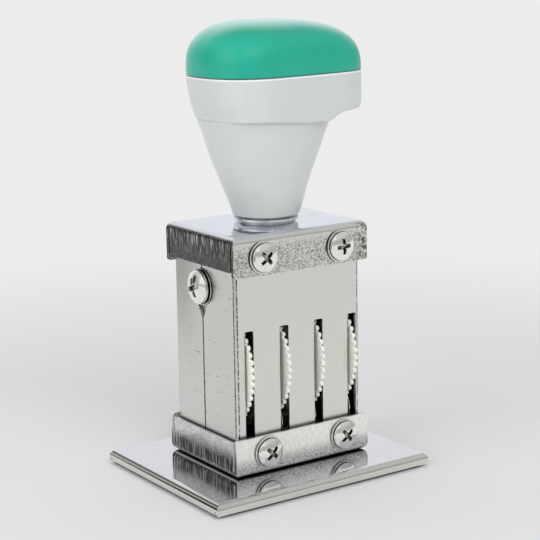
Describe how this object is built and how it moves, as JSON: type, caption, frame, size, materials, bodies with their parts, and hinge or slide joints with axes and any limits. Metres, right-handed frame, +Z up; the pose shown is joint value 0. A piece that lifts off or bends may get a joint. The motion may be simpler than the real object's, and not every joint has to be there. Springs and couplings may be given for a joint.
{
  "type": "date stamp",
  "caption": "Hand date stamp: nosed moulded handle on a folded sheet-metal box with toothed setting wheels in slots, on a wide flat print plate.",
  "frame": {"origin": "middle of the print plate's outline, on the printing face that the stamp stands on", "axes": "+Z up along the handle, -Y the front with the wheel slots, +X the side that the handle's nose points to"},
  "size_m": [0.0716, 0.058, 0.1266],
  "materials": {
    "cap_plastic": "gloss",
    "handle_plastic": "gloss",
    "insert_brass": "turned",
    "zinc_steel": "zinc plated",
    "polished_nickel": "polished",
    "polished_sheet": "polished sheet with grained edges",
    "satin_sheet": "satin",
    "screw_nickel": "nickel plated",
    "wheel_plastic": "moulded",
    "band_rubber": "moulded",
    "die_rubber": "moulded",
    "foam": "closed-cell foam",
    "spring_wire": "drawn wire"
  },
  "bodies": {
    "root": {"grip_cap": "cap_plastic", "handle_body": "handle_plastic", "handle_insert": "insert_brass", "handle_stud": "zinc_steel", "collar": "polished_nickel", "stud_washer": "zinc_steel", "stud_nut": "zinc_steel", "top_pan": "polished_sheet", "top_bridge": "zinc_steel", "front_shell": "satin_sheet", "rear_shell": "satin_sheet", "bottom_pan": "polished_sheet", "base_plate": "polished_sheet", "base_cushion": "foam", "stamp_die": "die_rubber", "top_screws": "screw_nickel", "top_washers": "screw_nickel", "top_nuts": "zinc_steel", "bottom_screws": "screw_nickel", "bottom_washers": "screw_nickel", "bottom_spacers": "zinc_steel", "front_nut_bar": "zinc_steel", "rear_nut_bar": "zinc_steel", "base_screws": "zinc_steel", "side_screws": "screw_nickel", "side_washers": "screw_nickel", "side_lock_washers": "screw_nickel", "tie_bar": "zinc_steel", "left_cheek": "zinc_steel", "right_cheek": "zinc_steel", "axle": "zinc_steel", "axle_spacers": "zinc_steel", "print_bar": "zinc_steel", "date_band_1": "band_rubber", "detent_spring_1": "spring_wire", "date_band_2": "band_rubber", "detent_spring_2": "spring_wire", "date_band_3": "band_rubber", "detent_spring_3": "spring_wire", "date_band_4": "band_rubber", "detent_spring_4": "spring_wire"},
    "wheel_1": {"thumb_wheel_1": "wheel_plastic"},
    "wheel_2": {"thumb_wheel_2": "wheel_plastic"},
    "wheel_3": {"thumb_wheel_3": "wheel_plastic"},
    "wheel_4": {"thumb_wheel_4": "wheel_plastic"}
  },
  "joints": [
    {"name": "wheel_1_turn", "type": "hinge", "parent": "root", "child": "wheel_1", "pos_m": [-0.01515, 0.0014, 0.03195], "axis": [1, 0, 0], "continuous": true, "deforming": ["detent_spring_1"]},
    {"name": "wheel_2_turn", "type": "hinge", "parent": "root", "child": "wheel_2", "pos_m": [-0.00285, 0.0014, 0.03195], "axis": [1, 0, 0], "continuous": true, "deforming": ["detent_spring_2"]},
    {"name": "wheel_3_turn", "type": "hinge", "parent": "root", "child": "wheel_3", "pos_m": [0.0086, 0.0014, 0.03195], "axis": [1, 0, 0], "continuous": true, "deforming": ["detent_spring_3"]},
    {"name": "wheel_4_turn", "type": "hinge", "parent": "root", "child": "wheel_4", "pos_m": [0.01985, 0.0014, 0.03195], "axis": [1, 0, 0], "continuous": true, "deforming": ["detent_spring_4"]}
  ]
}
